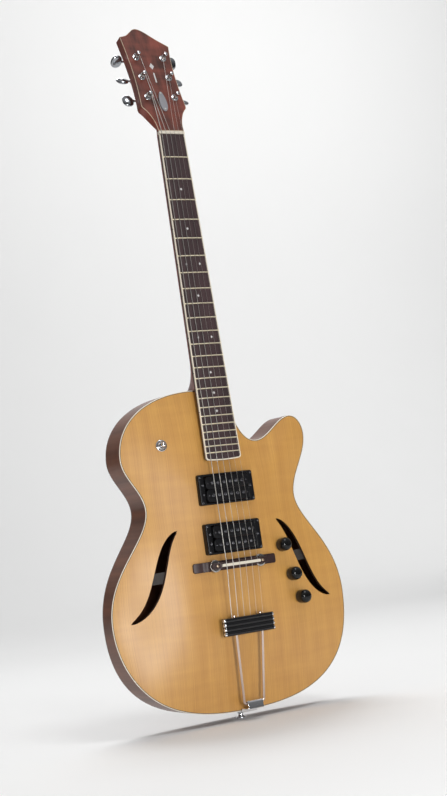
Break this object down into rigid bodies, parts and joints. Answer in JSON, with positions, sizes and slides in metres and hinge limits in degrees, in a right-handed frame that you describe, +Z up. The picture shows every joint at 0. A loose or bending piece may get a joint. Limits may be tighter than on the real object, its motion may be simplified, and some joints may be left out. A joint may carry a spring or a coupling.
{
  "type": "hollow body electric guitar",
  "caption": "Arched hollow-body electric guitar with a pointed cutaway, S-shaped sound holes, black pickups, floating wooden bridge and hinged ribbed tailpiece.",
  "frame": {"origin": "middle of the outer face of the tail strap button, on the centre line of the body", "axes": "+Z up the centre line from the tail to the headstock, -Y out of the front (strings and top), +X to the treble side with the cutaway"},
  "size_m": [0.3828, 0.1201, 1.0564],
  "materials": {
    "spruce_top": "gloss clear over amber spruce",
    "brace_wood": "plain",
    "body_wood": "gloss dark brown",
    "neck_wood": "gloss dark red-brown",
    "binding": "gloss cream",
    "rosewood_board": "satin, oiled",
    "rosewood_bridge": "satin",
    "bone": "polished",
    "head_veneer": "gloss",
    "grey_plastic": "satin",
    "steel": "plain",
    "strings": "bright",
    "tuner_chrome": "polished",
    "chrome": "polished",
    "black_ring": "gloss",
    "black_coil": "gloss",
    "black_knob": "gloss",
    "black_tailpiece": "high gloss"
  },
  "bodies": {
    "guitar": {"back_plate": "body_wood", "bridge_base": "rosewood_bridge", "bridge_pickup_ring": "black_ring", "cross_brace": "brace_wood", "fingerboard": "rosewood_board", "headstock_face": "head_veneer", "neck": "neck_wood", "neck_block": "brace_wood", "neck_pickup_ring": "black_ring", "nut": "bone", "output_jack": "chrome", "pot_1": "steel", "pot_2": "steel", "pot_3": "steel", "rim": "body_wood", "strap_button_heel": "chrome", "strap_button_tail": "chrome", "string_1": "strings", "string_2": "strings", "string_3": "strings", "string_4": "strings", "string_5": "strings", "string_6": "strings", "switch_body": "chrome", "tail_block": "brace_wood", "tailpiece_block": "black_tailpiece", "tailpiece_bracket": "chrome", "tailpiece_frame": "chrome", "top_binding": "binding", "top_plate": "spruce_top", "truss_rod_cover": "grey_plastic", "tuner_housing_1": "tuner_chrome", "tuner_housing_2": "tuner_chrome", "tuner_housing_3": "tuner_chrome", "tuner_housing_4": "tuner_chrome", "tuner_housing_5": "tuner_chrome", "tuner_housing_6": "tuner_chrome"},
    "tuner_key_1": {"tuner_key_1": "tuner_chrome"},
    "tuner_post_1": {"tuner_post_1": "tuner_chrome"},
    "tuner_key_2": {"tuner_key_2": "tuner_chrome"},
    "tuner_post_2": {"tuner_post_2": "tuner_chrome"},
    "tuner_key_3": {"tuner_key_3": "tuner_chrome"},
    "tuner_post_3": {"tuner_post_3": "tuner_chrome"},
    "tuner_key_4": {"tuner_key_4": "tuner_chrome"},
    "tuner_post_4": {"tuner_post_4": "tuner_chrome"},
    "tuner_key_5": {"tuner_key_5": "tuner_chrome"},
    "tuner_post_5": {"tuner_post_5": "tuner_chrome"},
    "tuner_key_6": {"tuner_key_6": "tuner_chrome"},
    "tuner_post_6": {"tuner_post_6": "tuner_chrome"},
    "knob_1": {"knob_1": "black_knob"},
    "knob_2": {"knob_2": "black_knob"},
    "knob_3": {"knob_3": "black_knob"},
    "switch_lever": {"switch_lever": "chrome"},
    "bridge_saddle": {"bridge_saddle": "rosewood_bridge", "saddle_insert": "bone"},
    "thumbwheel_bass": {"thumbwheel_bass": "chrome"},
    "thumbwheel_treble": {"thumbwheel_treble": "chrome"},
    "neck_pickup": {"neck_pickup": "black_coil"},
    "bridge_pickup": {"bridge_pickup": "black_coil"},
    "truss_rod": {"truss_rod": "steel"}
  },
  "joints": [
    {"name": "tuner_key_1_turn", "type": "hinge", "parent": "guitar", "child": "tuner_key_1", "pos_m": [-0.023, 0.02331, 0.935], "axis": [-1, 0, 0], "continuous": true},
    {"name": "tuner_post_1_turn", "type": "hinge", "parent": "guitar", "child": "tuner_post_1", "pos_m": [-0.023, 0.00341, 0.93551], "axis": [0, 0.9521, -0.3057], "continuous": true},
    {"name": "tuner_key_2_turn", "type": "hinge", "parent": "guitar", "child": "tuner_key_2", "pos_m": [-0.023, 0.03447, 0.96976], "axis": [-1, 0, 0], "continuous": true},
    {"name": "tuner_post_2_turn", "type": "hinge", "parent": "guitar", "child": "tuner_post_2", "pos_m": [-0.023, 0.01457, 0.97026], "axis": [0, 0.9521, -0.3057], "continuous": true},
    {"name": "tuner_key_3_turn", "type": "hinge", "parent": "guitar", "child": "tuner_key_3", "pos_m": [-0.023, 0.04547, 1.00403], "axis": [-1, 0, 0], "continuous": true},
    {"name": "tuner_post_3_turn", "type": "hinge", "parent": "guitar", "child": "tuner_post_3", "pos_m": [-0.023, 0.02558, 1.00454], "axis": [0, 0.9521, -0.3057], "continuous": true},
    {"name": "tuner_key_4_turn", "type": "hinge", "parent": "guitar", "child": "tuner_key_4", "pos_m": [0.023, 0.02331, 0.935], "axis": [1, 0, 0], "continuous": true},
    {"name": "tuner_post_4_turn", "type": "hinge", "parent": "guitar", "child": "tuner_post_4", "pos_m": [0.023, 0.00341, 0.93551], "axis": [0, 0.9521, -0.3057], "continuous": true},
    {"name": "tuner_key_5_turn", "type": "hinge", "parent": "guitar", "child": "tuner_key_5", "pos_m": [0.023, 0.03447, 0.96976], "axis": [1, 0, 0], "continuous": true},
    {"name": "tuner_post_5_turn", "type": "hinge", "parent": "guitar", "child": "tuner_post_5", "pos_m": [0.023, 0.01457, 0.97026], "axis": [0, 0.9521, -0.3057], "continuous": true},
    {"name": "tuner_key_6_turn", "type": "hinge", "parent": "guitar", "child": "tuner_key_6", "pos_m": [0.023, 0.04547, 1.00403], "axis": [1, 0, 0], "continuous": true},
    {"name": "tuner_post_6_turn", "type": "hinge", "parent": "guitar", "child": "tuner_post_6", "pos_m": [0.023, 0.02558, 1.00454], "axis": [0, 0.9521, -0.3057], "continuous": true},
    {"name": "knob_1_turn", "type": "hinge", "parent": "guitar", "child": "knob_1", "pos_m": [0.08339, -0.0384, 0.24244], "axis": [0.1316, -0.9879, 0.0818], "range_deg": [-150, 150]},
    {"name": "knob_2_turn", "type": "hinge", "parent": "guitar", "child": "knob_2", "pos_m": [0.0943, -0.03972, 0.19832], "axis": [0.1016, -0.9941, 0.0391], "range_deg": [-150, 150]},
    {"name": "knob_3_turn", "type": "hinge", "parent": "guitar", "child": "knob_3", "pos_m": [0.10531, -0.03936, 0.16321], "axis": [0.103, -0.9947, 0.0025], "range_deg": [-150, 150]},
    {"name": "switch_lever_tilt", "type": "hinge", "parent": "guitar", "child": "switch_lever", "pos_m": [-0.09186, -0.03067, 0.40611], "axis": [0.9955, -0.0946, 0.0057], "range_deg": [-11, 11]},
    {"name": "saddle_height", "type": "slide", "parent": "guitar", "child": "bridge_saddle", "axis": [0, 1, 0], "range_m": [0, 0.0012]},
    {"name": "thumbwheel_bass_turn", "type": "hinge", "parent": "bridge_saddle", "child": "thumbwheel_bass", "pos_m": [-0.0375, -0.048, 0.22535], "axis": [0, 1, 0], "range_deg": [0, 617.3]},
    {"name": "thumbwheel_treble_turn", "type": "hinge", "parent": "bridge_saddle", "child": "thumbwheel_treble", "pos_m": [0.0375, -0.048, 0.22535], "axis": [0, 1, 0], "range_deg": [0, 617.3]},
    {"name": "neck_pickup_height", "type": "slide", "parent": "guitar", "child": "neck_pickup", "axis": [0, -1, 0], "range_m": [-0.002, 0.003]},
    {"name": "bridge_pickup_height", "type": "slide", "parent": "guitar", "child": "bridge_pickup", "axis": [0, -1, 0], "range_m": [-0.002, 0.003]},
    {"name": "truss_rod_turn", "type": "hinge", "parent": "guitar", "child": "truss_rod", "pos_m": [0, -0.02793, 0.48225], "axis": [0, 0.0663, 0.9978], "range_deg": [-180, 180]}
  ],
  "couplings": [
    {"joint": "tuner_post_1_turn", "follows": "tuner_key_1_turn", "ratio": -0.066667},
    {"joint": "tuner_post_2_turn", "follows": "tuner_key_2_turn", "ratio": -0.066667},
    {"joint": "tuner_post_3_turn", "follows": "tuner_key_3_turn", "ratio": -0.066667},
    {"joint": "tuner_post_4_turn", "follows": "tuner_key_4_turn", "ratio": 0.066667},
    {"joint": "tuner_post_5_turn", "follows": "tuner_key_5_turn", "ratio": 0.066667},
    {"joint": "tuner_post_6_turn", "follows": "tuner_key_6_turn", "ratio": 0.066667},
    {"joint": "thumbwheel_bass_turn", "follows": "saddle_height", "rad_per_m": 8976},
    {"joint": "thumbwheel_treble_turn", "follows": "saddle_height", "rad_per_m": 8976}
  ]
}
